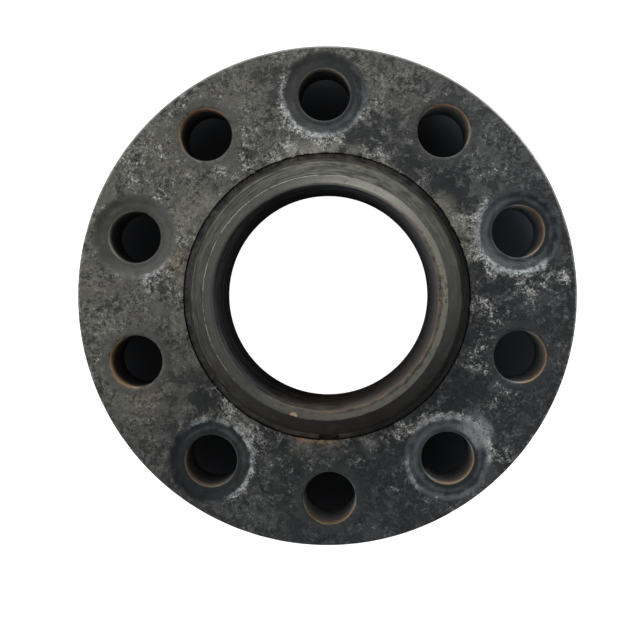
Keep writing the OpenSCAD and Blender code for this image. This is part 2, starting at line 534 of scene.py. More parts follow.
def holeCircleTree():
    # Sets the two sectors round the bore by turns, then works the surface
    tree, desk, given, result = newTree("holeCircle", [
        ("Seat Sector", "Object", None), ("Plain Sector", "Object", None),
        ("Hole Count", "Int", 10), ("First Hole", "Float", 0.0),
        ("Relief", "Float", 0.0003), ("Rim Dents", "Float", 0.0002),
        ("Front Height", "Float", 0.08), ("Rim Radius", "Float", 0.18),
        ("Recess Radius", "Float", 0.105), ("Edge Growth", "Float", 0.001),
        ("Material", "Material", None)])
    index = desk.add("GeometryNodeInputIndex").outputs[0]
    spots = desk.add("GeometryNodePoints", {"Count": given["Hole Count"]}).outputs[0]
    turn = desk.math("MULTIPLY_ADD", index, desk.math("DIVIDE", math.tau, given["Hole Count"]),
                     given["First Hole"])
    pair = desk.add("GeometryNodeGeometryToInstance")
    for name in ("Plain Sector", "Seat Sector"):  # the last one linked comes first
        got = desk.add("GeometryNodeObjectInfo", {"Object": given[name]}).outputs["Geometry"]
        tree.links.new(got, pair.inputs[0])
    placed = desk.add("GeometryNodeInstanceOnPoints", {
        "Points": spots, "Instance": pair.outputs[0], "Pick Instance": True,
        "Instance Index": desk.math("MODULO", index, 2),
        "Rotation": desk.vector(Z=turn)}).outputs[0]
    whole = desk.add("GeometryNodeRealizeInstances", {"Geometry": placed}).outputs[0]
    whole = desk.add("GeometryNodeMergeByDistance", {"Geometry": whole,
                                                     "Distance": 0.01 * mm}).outputs[0]

    place = desk.add("GeometryNodeInputPosition").outputs[0]
    holeDistance, wallDepth = desk.attribute("holeDistance"), desk.attribute("wallDepth")
    zone = desk.plus(zoneField(desk, place, scaleZones), seatHalo(desk, place, holeDistance))
    zone = desk.math("MINIMUM", zone, 1.25)
    bare = desk.math("MINIMUM", zoneField(desk, place, flakeZones), 1.0)
    for name, value in (("scaleZone", zone), ("flakeZone", bare)):
        whole = desk.add("GeometryNodeStoreNamedAttribute",
                         {"Geometry": whole, "Name": name, "Value": value},
                         data_type="FLOAT", domain="POINT").outputs[0]
    moved = desk.add("GeometryNodeSetPosition", {
        "Geometry": whole, "Offset": ringOffset(desk, given, place, zone, wallDepth)}).outputs[0]
    tree.links.new(desk.paint(moved, given["Material"]), result)
    return tree


def newFinish(name):
    material = bpy.data.materials.new(name)
    material.use_nodes = True
    tree = material.node_tree
    tree.nodes.clear()
    desk = NodeDesk(tree)
    shader = desk.add("ShaderNodeBsdfPrincipled")
    output = desk.add("ShaderNodeOutputMaterial")
    tree.links.new(shader.outputs[0], output.inputs[0])
    place = desk.add("ShaderNodeTexCoord").outputs["Object"]
    return material, desk, shader, place


def setSurface(desk, shader, colour, roughness, metallic, specular):
    for name, value in (("Base Color", colour), ("Roughness", roughness),
                        ("Metallic", metallic), ("Specular IOR Level", specular)):
        desk.feed(shader.inputs[name], value)


def bump(desk, shader, height, strength, distance):
    node = desk.add("ShaderNodeBump", {"Height": height, "Strength": strength,
                                       "Distance": distance * mm})
    desk.feed(shader.inputs["Normal"], node.outputs[0])


def ringPatterns(desk, place):
    # The attributes, directions and noises that the parts of the ring's finish share
    look = SimpleNamespace(place=place)
    for name in ("holeDistance", "wallDepth", "seatSide", "outward", "scaleZone", "flakeZone"):
        setattr(look, name, desk.add("ShaderNodeAttribute", attribute_name=name).outputs["Fac"])
    look.x, look.y, look.z = desk.split(place)
    look.radius = desk.fromAxis(look.x, look.y)
    look.blots = desk.noise(place, 9.0, 5.0, 0.62, distortion=0.4)
    look.coarse = desk.noise(place, 2.6, 5.0, 0.66)
    look.fine = desk.noise(place, 1.2, 3.0, 0.75)
    look.spread = desk.minus(look.blots, 0.5)
    look.drift = desk.minus(desk.noise(place, 34.0, 3.0, 0.5), 0.5)
    look.grain = desk.plus(desk.times(look.coarse, 0.55), desk.times(look.fine, 0.45))
    # Towards the upper left, where the ring is warmer; the lower right is bluer
    look.slope = desk.plus(desk.times(look.x, -0.88 / (ringRadius * mm)),
                           desk.times(look.y, 0.47 / (ringRadius * mm)))
    return look


def scaledFace(desk, look):
    # Grey scale, palest towards the upper left, which is partly the scale's own tone and partly a
    # painted sheen; under pale crust and the dark places where it flaked off
    grain, spread, drift = look.grain, look.spread, look.drift
    zone, bare = look.scaleZone, look.flakeZone
    # Painted sheen in part: the base tone rises towards the upper left
    rise = desk.plus(desk.times(look.x, -0.66 / (ringRadius * mm)),
                     desk.times(look.y, 0.75 / (ringRadius * mm)))
    tone = desk.plus(desk.step(rise, -1.0, 1.0), desk.times(drift, 0.9), desk.times(spread, 0.5))
    base = desk.mix(tone, tint(0.033, 0.034, 0.035), tint(0.084, 0.084, 0.082))
    hue = desk.mix(desk.step(look.slope, -0.9, 0.9), tint(0.96, 1.02, 1.06),
                   tint(1.01, 0.99, 0.89))
    # Some stretches are calm and others are coarse
    coarseness = desk.plus(desk.step(desk.noise(look.place, 21.0, 2.0), 0.36, 0.60, 0.35, 1.15),
                           desk.times(zone, 0.5))
    shade = desk.math("MULTIPLY_ADD", desk.step(grain, 0.36, 0.64, -0.7, 0.7), coarseness, 1.0)
    base = desk.add("ShaderNodeVectorMath", {0: base, 1: desk.scaled(hue, shade)},
                    operation="MULTIPLY").outputs[0]
    # Fine pale speckle, thicker where scale has built up
    level = desk.plus(grain, desk.times(zone, 0.10), desk.times(spread, 0.35))
    face = desk.coat(base, tint(0.165, 0.17, 0.16), desk.step(level, 0.52, 0.68), coarseness, 0.5)
    crustLevel = desk.plus(grain, desk.times(zone, 0.25), desk.times(spread, 0.60),
                           desk.times(bare, -0.20))
    crust = desk.step(crustLevel, 0.61, 0.83)
    pale = desk.mix(desk.step(look.fine, 0.38, 0.66), tint(0.15, 0.155, 0.15),
                    tint(0.70, 0.70, 0.66))
    face = desk.coat(face, pale, crust, 0.9)
    flakes = desk.noise(look.place, 7.0, 7.0, 0.64, distortion=0.2)
    flaked = desk.step(desk.plus(flakes, desk.times(zone, 0.05), desk.times(look.slope, -0.04),
                                 desk.times(drift, -0.35), desk.times(bare, 0.15)), 0.525, 0.570)
    pits = desk.times(desk.step(desk.plus(grain, desk.times(spread, 0.2)), 0.42, 0.36), coarseness)
    dark = desk.larger(desk.times(flaked, desk.plus(desk.times(bare, 0.3), 0.58)),
                       desk.times(pits, 0.6), clamp=True)
    return desk.mix(dark, face, tint(0.010, 0.012, 0.014)), crust, dark


# A smooth cream film, where the wet scale dried against the hub: angle, radius, spread, strength
filmZones = [
    (38, 107, 9, 0.7), (28, 108, 10, 0.9), (19, 107, 9, 0.6), (101, 109, 9, 0.7),
    (108, 108, 6, 0.5), (236, 108, 9, 0.6), (260, 109, 9, 0.5), (271, 108, 8, 0.5),
    (285, 108, 8, 0.4), (205, 108, 9, 0.3), (190, 108, 8, 0.3), (78, 107, 7, 0.6),
    (86, 108, 8, 0.7), (94, 108, 8, 0.8), (66, 106, 5, 0.6), (173, 108, 6, 0.4),
    (155, 108, 6, 0.3), (150, 117, 11, 0.5), (141, 112, 9, 0.45),
]


def stainedFace(desk, look, face):
    # The film, brown stains by the hub, and rust that wept out of the gap
    film = desk.times(zoneField(desk, look.place, filmZones), desk.step(look.blots, 0.30, 0.52),
                      desk.step(look.grain, 0.36, 0.50, 0.5, 1.0))
    face = desk.coat(face, tint(0.22, 0.215, 0.180), film, 0.9)
    brown = desk.plus(desk.spot(look.place, onFront(112, 166), 4, 16),
                      desk.spot(look.place, onFront(150, 206), 5, 24))
    face = desk.coat(face, tint(0.165, 0.130, 0.088), brown, desk.step(look.coarse, 0.40, 0.58),
                     0.6)
    weep = desk.times(desk.spot(look.place, onFront(105.5, 265), 8, 22),
                      desk.step(look.radius, 109.5 * mm, 105.8 * mm),
                      desk.step(look.coarse, 0.38, 0.54))
    return desk.coat(face, tint(0.27, 0.175, 0.095), weep, 0.9)


def holeSpots(desk, place, amounts):
    # Marks out whole holes, each given by its angle and an amount
    return desk.plus(*[desk.times(desk.spot(place, onFront(boltCircle, angle), 30, 36), amount)
                       for angle, amount in amounts])


def seatedFace(desk, look, face):
    # Dished seats are smoother and blue grey, with a worn lip and a dark outer side
    slope, spread, grain = look.slope, look.spread, look.grain
    gap, seatSide, zone = look.holeDistance, look.seatSide, look.scaleZone
    ragged = desk.plus(gap, desk.times(spread, 8.0), desk.times(desk.minus(grain, 0.5), 5.0))
    seat = desk.times(desk.step(ragged, 32.5, 29.5), seatSide)
    rings = desk.plus(desk.times(desk.band(ragged, 26.5, 29.5, 30.5, 33.0), 0.55),
                      desk.times(desk.band(gap, 22.0, 23.5, 24.5, 26.0), 0.3),
                      desk.times(desk.band(gap, 19.0, 20.0, 21.0, 22.5), -0.3))
    # The seat at the lower left is the dirtiest, and the two on the right the cleanest
    grimy = holeSpots(desk, look.place, ((234, 1.5), (90, 1.25), (162, 0.5)))
    tone = desk.plus(desk.step(look.outward, 1.0, -1.0, 0.05, 0.6), rings,
                     desk.times(spread, 1.6), desk.times(desk.step(slope, -1.0, 1.0), 0.15),
                     desk.times(look.drift, 0.8), desk.times(grimy, -0.42))
    pale = desk.mix(desk.step(slope, 0.1, 0.7), tint(0.082, 0.092, 0.098),
                    tint(0.078, 0.078, 0.074))
    dark = desk.mix(desk.step(slope, 0.2, 0.7), tint(0.011, 0.014, 0.016),
                    tint(0.042, 0.042, 0.040))
    face = desk.coat(face, desk.mix(desk.larger(tone, 0.0), dark, pale), seat, 0.9)
    # The seats' raised edges are crusted pale on the hub's side
    crusted = desk.times(
        desk.band(desk.plus(gap, desk.times(spread, 5.0)), 27.0, 29.0, 30.5, 32.5),
        seatSide, desk.step(zone, 0.25, 0.9),
        desk.step(desk.plus(look.blots, desk.times(zone, 0.12)), 0.46, 0.66),
        desk.step(grain, 0.38, 0.56))
    face = desk.coat(face, tint(0.36, 0.385, 0.39), crusted, 0.85)
    # One has a pale wash over the side that faces the hub
    thick = onFront(boltCircle, 306) + polar(27, math.radians(42), 0)
    washed = desk.times(desk.spot(look.place, thick, 6, 17), desk.step(grain, 0.34, 0.54),
                        desk.step(gap, 20.5, 22.5))
    face = desk.coat(face, tint(0.23, 0.245, 0.25), washed, 0.85)
    # Plain mouths have a darker lip, rubbed smooth
    lip = desk.times(desk.band(desk.plus(gap, desk.times(spread, 6.0)), 20.0, 20.8, 23.0, 28.0),
                     desk.step(seatSide, 0.6, 0.4))
    lipTint = desk.mix(desk.step(slope, -0.8, 0.8), tint(0.026, 0.028, 0.030),
                       tint(0.060, 0.060, 0.054))
    return desk.coat(face, lipTint, lip, 0.7), seat


def holeWalls(desk, look, face):
    # Hole walls carry painted light: pale walls in the holes towards the lower right and a painted
    # lit band under the mouth; they keep real patches of rust there
    sunk = desk.times(look.seatSide, 3.0)
    wall = desk.step(look.wallDepth, desk.plus(sunk, 0.6), desk.plus(sunk, 1.2))
    depth = desk.minus(look.wallDepth, desk.times(look.seatSide, 3.2))
    rightWay = desk.step(look.slope, 0.35, -0.35)
    # Painted light: the outer walls of holes towards the lower right are pale, as if lit from the
    # upper left
    paintedWallLight = desk.times(rightWay, desk.step(look.outward, -0.3, 0.4))
    colour = desk.mix(paintedWallLight, tint(0.060, 0.061, 0.061), tint(0.25, 0.255, 0.262))
    # Painted light: a pale band under the mouth on the outer side, fading with depth
    lit = desk.times(desk.step(depth, 6.0, 20.0, 1.0, 0.0), desk.step(look.outward, 0.0, 0.7))
    colour = desk.coat(colour, tint(0.23, 0.205, 0.165), lit, 0.85)
    clean = holeSpots(desk, look.place, ((90, 1.0), (162, 1.0), (234, 0.55)))
    rust = desk.times(
        desk.step(depth, 0.1, 0.7),
        desk.step(depth, 8.0, desk.plus(desk.times(look.blots, 50.0), 4.0), 1.0, 0.0),
        desk.step(desk.plus(look.outward, desk.times(look.drift, 2.0)), 0.1, 0.7),
        desk.step(clean, 0.8, 0.2))
    rustTint = desk.mix(desk.step(desk.plus(look.blots, desk.times(rightWay, -0.06)), 0.36, 0.54),
                        tint(0.33, 0.23, 0.145), tint(0.27, 0.145, 0.058))
    colour = desk.coat(colour, rustTint, rust, desk.step(look.coarse, 0.30, 0.62, 0.35, 0.95))
    return desk.mix(wall, face, colour)


def ringEdges(desk, look, colour):
    # The turned rim and the back are plainer; the rim's front edge is worn bright, and the wear
    # carries a painted highlight towards the top and a painted glint at the upper right
    side = desk.times(desk.step(look.z, (ringFront - 0.5) * mm, (ringFront - 2.5) * mm),
                      desk.below(look.wallDepth, wallStart))
    sideTint = desk.mix(desk.step(look.coarse, 0.35, 0.65), tint(0.026, 0.027, 0.028),
                        tint(0.070, 0.068, 0.062))
    colour = desk.mix(side, colour, sideTint)
    atFront = desk.step(look.z, (ringFront - 1.6) * mm, (ringFront - 0.9) * mm)
    # Painted highlight with the wear: the front edge is brighter towards the top
    wornWay = desk.facing(look.x, look.y, look.radius, 78)
    edge = desk.times(desk.step(look.radius, (ringRadius - 1.9) * mm, (ringRadius - 0.9) * mm),
                      atFront,
                      desk.step(desk.plus(desk.times(wornWay, 0.22), look.coarse), 0.38, 0.62))
    colour = desk.coat(colour, tint(0.22, 0.22, 0.21), edge, 0.85)
    # Painted highlight: a bright glint on the front edge at the upper right
    paintedRimGlint = desk.times(desk.spot(look.place, onFront(ringRadius, 40), 10, 48),
                        desk.step(look.radius, (ringRadius - 1.6) * mm, (ringRadius - 0.8) * mm),
                        atFront, desk.step(look.coarse, 0.30, 0.5))
    return desk.coat(colour, tint(0.50, 0.50, 0.49), paintedRimGlint, 0.8)


def ringScaleFinish():
    material, desk, shader, place = newFinish("pittedRingScale")
    look = ringPatterns(desk, place)
    face, crust, dark = scaledFace(desk, look)
    face, seat = seatedFace(desk, look, stainedFace(desk, look, face))
    colour = ringEdges(desk, look, holeWalls(desk, look, face))
    rough = desk.minus(desk.step(look.grain, 0.3, 0.7, 0.50, 0.80), desk.times(seat, 0.12))
    setSurface(desk, shader, colour, desk.larger(rough, desk.times(crust, 0.92)),
               metallic=0.05, specular=0.16)
    relief = desk.plus(desk.times(look.grain, 1.3), desk.times(crust, 0.6), desk.times(dark, -0.7))
    bump(desk, shader, relief, 0.8, 0.55)
    return material


crustGrains = {
    "seed": 7,
    "densest": 1.15e6,        # to the square metre, where the scale is thickest
    "smallest": 0.35,
    "largest": 1.05,
    "flatness": 0.42,
}


def randomValue(desk, low, high, seed):
    node = desk.add("FunctionNodeRandomValue", {"Min": low, "Max": high, "Seed": seed},
                    data_type="FLOAT")
    return next(o for o in node.outputs if o.enabled and o.type == "VALUE")


def crustTree():
    # Scatters small flattened lumps over the front, where the scale has built up
    tree, desk, given, result = newTree("crustGrains", [
        ("Ring", "Object", None), ("Density", "Float", 1e6), ("Smallest", "Float", 0.4),
        ("Largest", "Float", 1.2), ("Flatness", "Float", 0.4), ("Seed", "Int", 1),
        ("Front Height", "Float", 0.08), ("Material", "Material", None)])
    ring = desk.add("GeometryNodeObjectInfo", {"Object": given["Ring"]}).outputs["Geometry"]
    place = desk.add("GeometryNodeInputPosition").outputs[0]
    z = desk.split(place)[2]
    zone, bare, holeDistance, seatSide, wallDepth = (
        desk.attribute(name)
        for name in ("scaleZone", "flakeZone", "holeDistance", "seatSide", "wallDepth"))
    blots = desk.noise(place, 9.0, 5.0, 0.62, distortion=0.4)
    clumps = desk.noise(place, 2.6, 3.0, 0.6)
    amount = desk.plus(desk.times(zone, 0.55), desk.times(desk.minus(blots, 0.5), 1.6),
                       desk.times(desk.minus(clumps, 0.5), 1.4), desk.times(bare, -0.5))
    # None lie in a seat or on a mouth's lip
    seatWidth = desk.times(seatSide, 8.5)
    clear = desk.step(holeDistance, desk.plus(seatWidth, 21.0), desk.plus(seatWidth, 23.0))
    share = desk.times(desk.step(amount, 0.40, 0.95), clear, desk.below(wallDepth, wallStart),
                       desk.above(z, desk.minus(given["Front Height"], 0.35 * mm)))
    points = desk.add("GeometryNodeDistributePointsOnFaces", {
        "Mesh": ring, "Density": desk.times(share, given["Density"]), "Seed": given["Seed"]},
        distribute_method="RANDOM").outputs[0]
    wide = desk.times(randomValue(desk, given["Smallest"], given["Largest"], 3), mm)
    scale = desk.vector(X=wide, Y=desk.times(wide, randomValue(desk, 0.6, 1.0, 5)),
                        Z=desk.times(wide, given["Flatness"]))
    facing = desk.vector(Z=randomValue(desk, 0.0, math.tau, 9))
    lump = desk.add("GeometryNodeMeshIcoSphere", {"Radius": 0.5, "Subdivisions": 1}).outputs[0]
    placed = desk.add("GeometryNodeInstanceOnPoints", {
        "Points": points, "Instance": lump, "Rotation": facing, "Scale": scale}).outputs[0]
    whole = desk.add("GeometryNodeRealizeInstances", {"Geometry": placed}).outputs[0]
    tree.links.new(desk.paint(whole, given["Material"]), result)
    return tree


def crustFinish():
    material, desk, shader, place = newFinish("paleCrust")
    fine = desk.noise(place, 1.4, 3.0, 0.7)
    colour = desk.mix(desk.step(fine, 0.3, 0.7), tint(0.12, 0.125, 0.125), tint(0.46, 0.465, 0.45))
    setSurface(desk, shader, colour, 0.9, metallic=0.0, specular=0.2)
    bump(desk, shader, desk.noise(place, 0.4, 2.0, 0.6), 0.6, 0.15)
    return material


weldHub = {
    "raisedRadius": 108.0,
    "raisedHeight": 6.0,
    "shoulderTop": 30.0,
    "shoulderBreak": 1.5,
    "neckRadius": 100.5,
    "grooveRadius": 97.0,
    "groovePlay": 0.1,
    "neckTop": 86.0,
    "rootRadius": 97.3,       # turned edge where the steep root meets the taper
    "rootHeight": 98.0,
    "pipeRadius": 84.15,
    "straightLength": 8.0,
    "rootLand": 1.6,
    "bevelAngle": 37.5,
    "toolMarks": 0.12,
    "dents": 0.18,
    "segments": 300,
    "longest": 3.4,           # the longest face along the profile
    "serrationPitch": 0.8,    # gasket face grooves
    "serrationDepth": 0.05,
    # Two shallow grooves that the boring tool left: height, depth, rounding
    "boreGrooves": [(128.0, 0, 0), (127.6, 0.45, 0.1), (126.2, 0.45, 0.1), (125.6, 0, 0),
                    (72.0, 0, 0), (71.4, 0.5, 0.1), (69.4, 0.5, 0.1), (68.8, 0, 0)],
}
landRadius = boreRadius + weldHub["rootLand"]
bevelHeight = (weldHub["pipeRadius"] - landRadius) * math.tan(math.radians(weldHub["bevelAngle"]))
bevelStart = weldEnd - bevelHeight


def hubProfile():
    s = weldHub
    grooveLow, grooveHigh = keeperLow.z - s["groovePlay"], keeperHigh.z + s["groovePlay"]
    corners = [(boreRadius, 0.8, 0), (boreRadius + 0.8, 0, 0.3)]
    radius = boreRadius + 5
    while radius < s["raisedRadius"] - 2:  # the gasket face's fine grooves
        corners += [(radius, 0, 0), (radius + s["serrationPitch"] / 2, s["serrationDepth"], 0)]
        radius += s["serrationPitch"]
    corners += [
        (s["raisedRadius"] - 1, 0, 0), (s["raisedRadius"], 0, 0.6),
        (s["raisedRadius"], s["raisedHeight"], 0.6),
        (shoulderRadius - s["shoulderBreak"], s["raisedHeight"], 0.4),
        (shoulderRadius, s["raisedHeight"] + s["shoulderBreak"], 0.5),
        (shoulderRadius, s["shoulderTop"], 0.8), (s["neckRadius"], s["shoulderTop"], 0.5),
        (s["neckRadius"], grooveLow, 0.2), (s["grooveRadius"], grooveLow, 0.2),
        (s["grooveRadius"], grooveHigh, 0.2), (s["neckRadius"], grooveHigh, 0.2),
        (s["neckRadius"], s["neckTop"], 1.2), (s["rootRadius"], s["rootHeight"], 0.5),
        (s["pipeRadius"], bevelStart - s["straightLength"], 3.0),
        (s["pipeRadius"], bevelStart, 0.25), (landRadius, weldEnd, 0.25),
        (boreRadius + 0.3, weldEnd, 0.1), (boreRadius, weldEnd - 0.3, 0.1)]
    corners += [(boreRadius + depth, height, rounding)
                for height, depth, rounding in s["boreGrooves"]]
    corners.append((boreRadius, 0.8, 0))
    return evenLine(roundedLine(corners, 3), s["longest"])


def makeHub():
    count = weldHub["segments"]
    bm = bmesh.new()
    rows = [[bm.verts.new(polar(p.x, math.tau * i / count, p.y) * mm) for i in range(count)]
            for p in hubProfile()[:-1]]
    stitch(bm, rows + rows[:1], True)
    return keepMesh(bm, "forgedHub")


# Small damage on the weld end: angle, radius, height, spread, depth
hubNicks = [
    (254, 83.4, 160.2, 3.2, 0.9), (3, 81.2, 161.6, 1.6, 0.5), (7, 82.6, 160.6, 1.3, 0.4),
    (358, 80.3, 162.4, 1.1, 0.4), (140, 84.1, 159.6, 1.5, 0.4), (290, 84.0, 159.6, 1.6, 0.3),
    (212, 97.2, 98.0, 3.0, 0.6), (60, 97.3, 98.0, 2.2, 0.5), (330, 96.9, 99.0, 2.4, 0.4),
    (101, 79.0, 163.8, 1.2, 0.4), (228, 78.9, 163.9, 1.4, 0.4), (312, 81.0, 161.8, 1.2, 0.3),
]


def hubReliefTree():
    # Works the lathe's marks, shallow dents and nicks into the hub, and paints steel and bore
    tree, desk, given, result = newTree("hubRelief", [
        ("Tool Marks", "Float", 0.00005), ("Dents", "Float", 0.0001),
        ("Neck Top", "Float", 0.086), ("Bore Radius", "Float", 0.077),
        ("Weld End", "Float", 0.164), ("Steel", "Material", None),
        ("Bore Finish", "Material", None)])
    place = desk.add("GeometryNodeInputPosition").outputs[0]
    normal = desk.add("GeometryNodeInputNormal").outputs[0]
    x, y, z = desk.split(place)
    radius = desk.fromAxis(x, y)
    lines = desk.minus(desk.noise(desk.vector(X=radius, Z=z), 2.4, 2.0, 0.6), 0.5)
    swell = desk.minus(desk.noise(place, 16.0, 3.0, 0.55), 0.5)
    lift = desk.plus(desk.times(lines, given["Tool Marks"]), desk.times(swell, given["Dents"]))
    for angle, out, up, spread, depth in hubNicks:
        gap = desk.distance(place, polar(out, math.radians(angle), up))
        lift = desk.plus(lift, desk.step(gap, 0.0, spread * mm, -depth * mm, 0.0))
    exposed = desk.step(z, given["Neck Top"], desk.plus(given["Neck Top"], 2 * mm))
    offset = desk.scaled(normal, desk.math("MINIMUM", desk.times(lift, exposed), 0.0))
    moved = desk.add("GeometryNodeSetPosition", {"Geometry": given["Geometry"],
                                                 "Offset": offset}).outputs[0]
    whole = desk.add("GeometryNodeRealizeInstances", {"Geometry": moved}).outputs[0]
    inBore = desk.times(desk.below(radius, desk.plus(given["Bore Radius"], 0.7 * mm)),
                        desk.below(z, desk.minus(given["Weld End"], 0.1 * mm)))
    steel = desk.paint(whole, given["Steel"])
    tree.links.new(desk.paint(steel, given["Bore Finish"], inBore), result)
    return tree


def hubPatterns(desk, place):
    # What the parts of the hub's finish share; each way is 1 towards that side of the hub
    look = SimpleNamespace(place=place)
    x, y, look.z = desk.split(place)
    radius = desk.fromAxis(x, y)
    look.radius = radius
    look.blots = desk.noise(place, 11.0, 5.0, 0.62)
    look.patches = desk.noise(place, 32.0, 3.0, 0.55)
    look.grain = desk.noise(place, 1.3, 4.0, 0.68)
    # Tool marks run round the axis, so they change along the profile and hardly round it
    slow = 0.06
    along = desk.vector(X=desk.plus(radius, desk.times(x, slow)), Y=desk.times(y, slow), Z=look.z)
    look.lines = desk.noise(along, 0.8, 3.0, 0.65)
    marks = desk.plus(desk.times(look.lines, 0.5),
                      desk.times(desk.noise(along, 3.5, 2.0, 0.55), 0.5))
    look.tone = desk.plus(desk.times(marks, 0.6), desk.times(look.blots, 0.25),
                          desk.times(look.patches, 0.15))
    look.ragged = desk.times(desk.minus(desk.noise(place, 5.0, 5.0, 0.7), 0.5), 4.0 * mm)
    lowSide = desk.step(y, 0.0, -40 * mm)
    look.bevel = desk.step(desk.plus(look.z, desk.times(look.ragged, lowSide)),
                           (bevelStart - 0.1) * mm, (bevelStart + 0.2) * mm)
    for name, angle in (("worn", 150), ("grimy", 268), ("scraped", 335), ("dull", 190),
                        ("lit", 72), ("top", 90), ("left", 180)):
        setattr(look, name + "Way", desk.facing(x, y, radius, angle))
    # Long shallow scratches, cut along the turning and a little across it
    scratched = desk.noise(desk.vector(
        X=desk.plus(radius, desk.times(x, 0.18), desk.times(y, -0.12)),
        Y=desk.times(y, 0.10), Z=look.z), 1.7, 2.0, 0.6)
    look.scratches = desk.times(desk.band(scratched, 0.494, 0.5, 0.502, 0.508),
                                desk.step(look.patches, 0.45, 0.60))
    return look


def hubTones(desk, look):
    # Turned steel with a brighter bevel, with painted shade on the lower side
    base = desk.mix(desk.step(look.tone, 0.40, 0.60), tint(0.026, 0.026, 0.022),
                    tint(0.104, 0.103, 0.089))
    scraped = desk.plus(desk.times(look.scrapedWay, 0.58), 0.46, desk.times(look.grimyWay, -0.08),
                        desk.step(look.litWay, 0.2, 1.0, 0.0, -0.12),
                        desk.times(desk.minus(look.tone, 0.5), 1.6),
                        desk.step(look.dullWay, -0.1, 0.8, 0.0, -0.22))
    bright = desk.mix(scraped, tint(0.036, 0.036, 0.030), tint(0.172, 0.169, 0.142))
    steel = desk.coat(base, tint(0.105, 0.104, 0.094),
                      desk.step(look.scrapedWay, 0.2, 1.0, 0.0, 0.5))
    colour = desk.mix(look.bevel, steel, bright)
    # Painted light: the taper is lighter on the side towards the low window
    colour = desk.coat(colour, tint(0.170, 0.168, 0.140), desk.step(look.litWay, 0.6, 1.0),
                       desk.step(look.blots, 0.35, 0.60), desk.step(look.bevel, 0.0, 1.0, 0.40, 0.10))
    # Painted shade: the lower side of the taper goes nearly black
    grime = desk.times(desk.step(look.grimyWay, 0.1, 0.95),
                       desk.step(look.patches, 0.25, 0.6, 0.85, 1.0),
                       desk.step(look.z, (bevelStart + 0.3) * mm, (bevelStart - 0.8) * mm,
                                 0.08, 1.0))
    colour = desk.mix(grime, colour, tint(0.013, 0.011, 0.008))
    # The root of the bevel is ragged and rusty, most of all on the scraped side
    root = desk.times(desk.step(desk.plus(look.radius, desk.times(look.ragged, 1.3)),
                                (landRadius + 1.7) * mm, (landRadius + 0.6) * mm), look.bevel,
                      desk.step(look.scrapedWay, -0.2, 0.6))
    rusty = desk.mix(desk.step(look.blots, 0.40, 0.62), tint(0.030, 0.026, 0.021),
                     tint(0.105, 0.078, 0.052))
    return desk.coat(colour, rusty, root, 0.85)


def hubWear(desk, look, colour):
    # Edges worn bright with a painted highlight, painted shade at the foot, and then each kind of
    # small damage
    rootHeight = weldHub["rootHeight"]
    edge = desk.band(look.z, (bevelStart - 0.5) * mm, (bevelStart - 0.15) * mm,
                     (bevelStart + 0.05) * mm, (bevelStart + 0.3) * mm)
    rootEdge = desk.band(look.z, (rootHeight - 1.4) * mm, (rootHeight - 0.4) * mm,
                         (rootHeight + 0.4) * mm, (rootHeight + 1.6) * mm)
    # Edge wear with a painted highlight, brightest on the side that faces the brightest sky
    worn = desk.times(desk.larger(edge, desk.times(rootEdge, 0.8)),
                      desk.step(look.wornWay, -0.1, 0.8),
                      desk.step(desk.plus(look.blots, desk.times(look.grain, 0.6)), 0.68, 0.86))
    colour = desk.mix(worn, colour, tint(0.50, 0.50, 0.45))
    # Painted shade round the foot of the hub, lighter at the top and on the left
    paintedFootShade = desk.times(desk.step(look.z, (rootHeight + 4) * mm, (rootHeight - 2) * mm),
                      desk.step(look.topWay, 0.95, 0.3, 0.70, 0.92),
                      desk.step(look.leftWay, -0.3, 0.7, 1.0, 0.72))
    colour = desk.mix(paintedFootShade, colour, tint(0.013, 0.012, 0.011))
    speckle = desk.plus(desk.noise(look.place, 1.2, 3.0, 0.7), desk.times(look.blots, 0.25))
    colour = desk.coat(colour, tint(0.16, 0.155, 0.135), desk.step(speckle, 0.72, 0.79),
                       desk.step(desk.plus(look.wornWay, look.bevel), 1.5, 0.9), 0.45)
    # Dark pits in the bevel on the right
    pitted = desk.times(desk.spot(look.place, polar(81, math.radians(3), 162), 7, 15),
                        desk.step(desk.noise(look.place, 2.2, 2.0, 0.6), 0.56, 0.60), look.bevel)
    colour = desk.coat(colour, tint(0.010, 0.010, 0.010), pitted, 0.85)
    stains = desk.step(desk.noise(look.place, 4.5, 6.0, 0.7), 0.57, 0.63)
    colour = desk.coat(colour, tint(0.016, 0.016, 0.014), stains, 0.5)
    colour = desk.coat(colour, tint(0.20, 0.20, 0.18), look.scratches, 0.5)
    # Rust in the largest nick
    chip = polar(83.0, math.radians(254), 160.4)
    return desk.mix(desk.spot(look.place, chip, 2.0, 2.9), colour, tint(0.36, 0.27, 0.19))


def turnedSteelFinish():
    material, desk, shader, place = newFinish("turnedHubSteel")
    look = hubPatterns(desk, place)
    colour = hubWear(desk, look, hubTones(desk, look))
    rough = desk.step(desk.plus(desk.times(look.grain, 0.5), desk.times(look.blots, 0.5)),
                      0.3, 0.7, 0.36, 0.62)
    setSurface(desk, shader, colour, rough, metallic=0.3, specular=0.35)
    relief = desk.plus(desk.times(look.lines, 0.9), desk.times(look.grain, 0.6))
    bump(desk, shader, relief, 0.4, 0.22)
    return material


